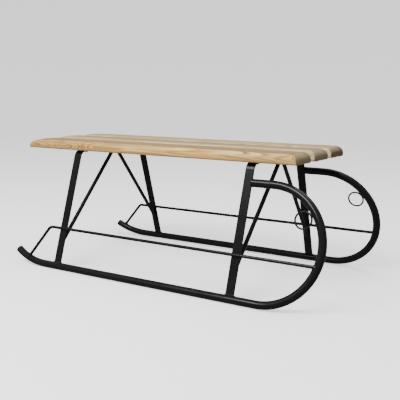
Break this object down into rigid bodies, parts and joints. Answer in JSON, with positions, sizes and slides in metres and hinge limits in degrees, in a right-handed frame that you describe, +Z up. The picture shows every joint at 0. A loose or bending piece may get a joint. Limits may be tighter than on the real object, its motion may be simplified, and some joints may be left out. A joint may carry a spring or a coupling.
{
  "type": "sledge-shaped wooden seat on steel runners",
  "caption": "Sledge-shaped seat: lengthwise wooden slats on a welded black steel frame, with runners that curl up and back at the front, side rails, braces and tow rings.",
  "frame": {"origin": "on the ground, at the centre of the object's footprint", "axes": "+X points forward to the curls, +Y to the left, +Z up"},
  "size_m": [1.0399, 0.558, 0.387],
  "materials": {
    "wood": "planed softwood, clear matt finish",
    "black_steel": "black powder coat, semi-gloss",
    "black_plastic": "matt moulded",
    "zinc_steel": "zinc plated"
  },
  "bodies": {
    "root": {"runner_left": "black_steel", "tail_plug_left": "black_plastic", "curl_end_disc_left": "black_steel", "side_rail_left": "black_steel", "tow_ring_left": "black_steel", "runner_right": "black_steel", "tail_plug_right": "black_plastic", "curl_end_disc_right": "black_steel", "side_rail_right": "black_steel", "tow_ring_right": "black_steel", "rear_leg_bow": "black_steel", "rear_brace_left": "black_steel", "rear_brace_right": "black_steel", "front_leg_bow": "black_steel", "front_brace_left": "black_steel", "front_brace_right": "black_steel", "seat_slat_left": "wood", "slat_screws_left": "zinc_steel", "seat_slat_middle": "wood", "slat_screws_middle": "zinc_steel", "seat_slat_right": "wood", "slat_screws_right": "zinc_steel"}
  },
  "joints": []
}
